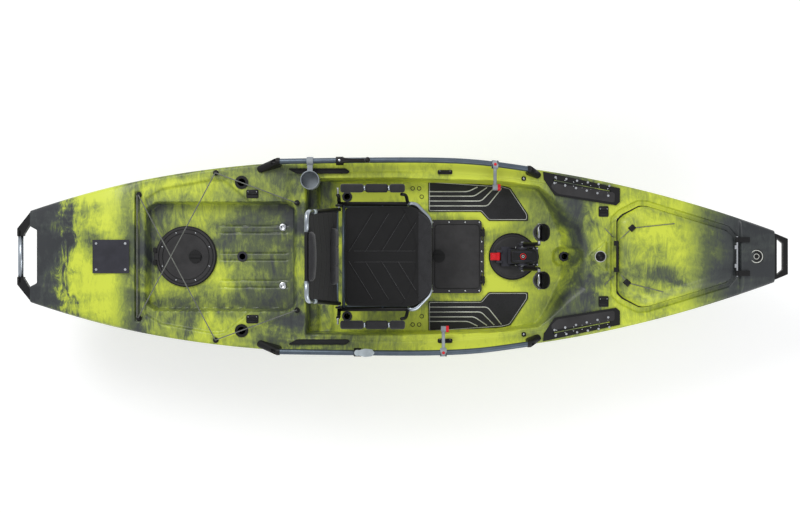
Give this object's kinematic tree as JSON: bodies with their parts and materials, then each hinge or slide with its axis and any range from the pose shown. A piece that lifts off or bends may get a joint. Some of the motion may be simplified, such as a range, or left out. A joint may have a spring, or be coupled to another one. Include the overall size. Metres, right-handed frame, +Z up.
{
  "type": "pedal boat",
  "caption": "Sit-on-top fishing pedal boat with a mesh seat, gunwale rails, a turning fin drive, rudder and skeg.",
  "frame": {"origin": "lowest line of the keel amidships, on the centreline, where a cradle or the water carries the hull", "axes": "+X to the bow, +Y to port, +Z up"},
  "size_m": [4.174, 1.0692, 1.4244],
  "materials": {
    "hull_plastic": "satin",
    "charcoal_plastic": "satin",
    "black_plastic": "satin",
    "grey_plastic": "satin",
    "red_plastic": "gloss",
    "rail_aluminium": "satin",
    "silver_aluminium": "satin",
    "steel": "polished",
    "rubber_seal": "matte",
    "elastic_cord": "matte",
    "foam_pad": "matte",
    "seat_fabric": "matte"
  },
  "bodies": {
    "hull": {"hull_shell": "hull_plastic", "deck": "hull_plastic", "deck_wells": "hull_plastic", "bow_handle": "black_plastic", "stern_handle": "silver_aluminium", "stern_handle_elbows": "black_plastic", "stern_plate": "charcoal_plastic", "deck_fasteners": "steel", "rails": "rail_aluminium", "rail_boots": "black_plastic", "track_plates": "black_plastic", "side_pockets": "black_plastic", "bow_hatch_seal": "rubber_seal", "bow_hatch_hinges": "black_plastic", "bow_liner": "black_plastic", "centre_hatch_frame": "black_plastic", "centre_bucket": "black_plastic", "rear_hatch_ring": "black_plastic", "rear_bucket": "black_plastic", "cargo_bungee": "elastic_cord", "bungee_hooks": "black_plastic", "deck_cleats": "black_plastic", "scupper_tubes": "charcoal_plastic", "rod_holders": "black_plastic", "deck_pads": "foam_pad", "cup_holder": "grey_plastic", "steering_bracket": "black_plastic", "clamp_arms": "grey_plastic", "drive_trunk": "charcoal_plastic", "drive_turret": "black_plastic", "drive_spine": "charcoal_plastic", "crank_axle": "steel", "rudder_stock": "charcoal_plastic", "skeg_trunk": "charcoal_plastic", "skeg_pin": "steel", "seat_base": "silver_aluminium", "seat_pan": "seat_fabric"},
    "bow_lid": {"bow_hatch_lid": "hull_plastic", "bow_hatch_handle": "black_plastic", "bow_hatch_pin": "steel"},
    "centre_lid": {"centre_hatch_lid": "charcoal_plastic"},
    "centre_latch": {"centre_hatch_latch": "black_plastic"},
    "rear_lid": {"rear_hatch_lid": "black_plastic"},
    "rear_latch": {"rear_hatch_latch": "black_plastic"},
    "steering": {"steering_lever": "black_plastic"},
    "rudder_control": {"rudder_paddle": "grey_plastic"},
    "port_knob": {"clamp_knob_port": "red_plastic"},
    "starboard_knob": {"clamp_knob_starboard": "red_plastic"},
    "pedal_port": {"pedal_port": "black_plastic"},
    "pedal_starboard": {"pedal_starboard": "black_plastic"},
    "lower_unit": {"drive_column": "charcoal_plastic"},
    "front_fin": {"fin_front": "rubber_seal"},
    "rear_fin": {"fin_rear": "rubber_seal"},
    "lever": {"drive_lever": "red_plastic"},
    "rudder": {"rudder_blade": "charcoal_plastic"},
    "skeg": {"skeg_blade": "charcoal_plastic"},
    "backrest": {"back_frame": "silver_aluminium", "back_mesh": "seat_fabric"},
    "arm_port": {"armrest_port": "foam_pad"},
    "arm_starboard": {"armrest_starboard": "foam_pad"}
  },
  "joints": [
    {"name": "bow_lid_hinge", "type": "hinge", "parent": "hull", "child": "bow_lid", "pos_m": [1.804, 0, 0.38], "axis": [0, 1, 0], "range_deg": [0, 100]},
    {"name": "centre_lid_hinge", "type": "hinge", "parent": "hull", "child": "centre_lid", "pos_m": [0.451, 0, 0.2306], "axis": [0, 1, 0], "range_deg": [0, 95]},
    {"name": "centre_latch_turn", "type": "hinge", "parent": "centre_lid", "child": "centre_latch", "pos_m": [0.206, 0, 0.2256], "axis": [0, 0, 1], "range_deg": [0, 90]},
    {"name": "rear_lid_hinge", "type": "hinge", "parent": "hull", "child": "rear_lid", "pos_m": [-1.348, 0, 0.2776], "axis": [0, -1, 0], "range_deg": [0, 100], "deforming": ["cargo_bungee"]},
    {"name": "rear_latch_turn", "type": "hinge", "parent": "rear_lid", "child": "rear_latch", "pos_m": [-1.126, 0, 0.2726], "axis": [0, 0, 1], "range_deg": [0, 90]},
    {"name": "steering_turn", "type": "hinge", "parent": "hull", "child": "steering", "pos_m": [-0.33, 0.51089, 0.446], "axis": [0, 0, 1], "continuous": true},
    {"name": "drive_turn", "type": "hinge", "parent": "hull", "child": "lower_unit", "pos_m": [0.612, 0, 0], "axis": [0, 0, 1], "continuous": true},
    {"name": "rudder_control_turn", "type": "hinge", "parent": "hull", "child": "rudder_control", "pos_m": [-0.235, -0.5117, 0.446], "axis": [0, 0, 1], "range_deg": [-35, 35]},
    {"name": "rudder_turn", "type": "hinge", "parent": "hull", "child": "rudder", "pos_m": [-1.585, 0, 0.1], "axis": [0, 0, 1], "range_deg": [-35, 35]},
    {"name": "port_knob_turn", "type": "hinge", "parent": "hull", "child": "port_knob", "pos_m": [0.5, 0.36933, 0.412], "axis": [1, 0, 0], "continuous": true},
    {"name": "starboard_knob_turn", "type": "hinge", "parent": "hull", "child": "starboard_knob", "pos_m": [0.224, -0.38744, 0.412], "axis": [1, 0, 0], "continuous": true},
    {"name": "port_pedal_swing", "type": "hinge", "parent": "hull", "child": "pedal_port", "pos_m": [0.656, 0, 0.318], "axis": [0, 1, 0], "range_deg": [-20, 20]},
    {"name": "starboard_pedal_swing", "type": "hinge", "parent": "hull", "child": "pedal_starboard", "pos_m": [0.656, 0, 0.318], "axis": [0, 1, 0], "range_deg": [-20, 20]},
    {"name": "front_fin_swing", "type": "hinge", "parent": "lower_unit", "child": "front_fin", "pos_m": [0.687, 0, -0.008], "axis": [1, 0, 0], "range_deg": [-44, 44]},
    {"name": "rear_fin_swing", "type": "hinge", "parent": "lower_unit", "child": "rear_fin", "pos_m": [0.537, 0, -0.008], "axis": [1, 0, 0], "range_deg": [-44, 44]},
    {"name": "drive_lever_lift", "type": "hinge", "parent": "hull", "child": "lever", "pos_m": [0.532, 0, 0.2556], "axis": [0, 1, 0], "range_deg": [0, 70]},
    {"name": "skeg_lift", "type": "hinge", "parent": "hull", "child": "skeg", "pos_m": [-0.985, 0, 0.048], "axis": [0, 1, 0], "range_deg": [0, 28]},
    {"name": "backrest_fold", "type": "hinge", "parent": "hull", "child": "backrest", "pos_m": [-0.33, 0, 0.5], "axis": [0, 1, 0], "range_deg": [-8, 80]},
    {"name": "port_armrest_lift", "type": "hinge", "parent": "hull", "child": "arm_port", "pos_m": [-0.33, 0.326, 0.593], "axis": [0, -1, 0], "range_deg": [0, 95]},
    {"name": "starboard_armrest_lift", "type": "hinge", "parent": "hull", "child": "arm_starboard", "pos_m": [-0.33, -0.326, 0.593], "axis": [0, -1, 0], "range_deg": [0, 95]}
  ],
  "couplings": [
    {"joint": "drive_turn", "follows": "steering_turn", "ratio": 1},
    {"joint": "rudder_turn", "follows": "rudder_control_turn", "ratio": 1},
    {"joint": "starboard_pedal_swing", "follows": "port_pedal_swing", "ratio": -1},
    {"joint": "front_fin_swing", "follows": "port_pedal_swing", "ratio": 2.2},
    {"joint": "rear_fin_swing", "follows": "port_pedal_swing", "ratio": -2.2}
  ]
}
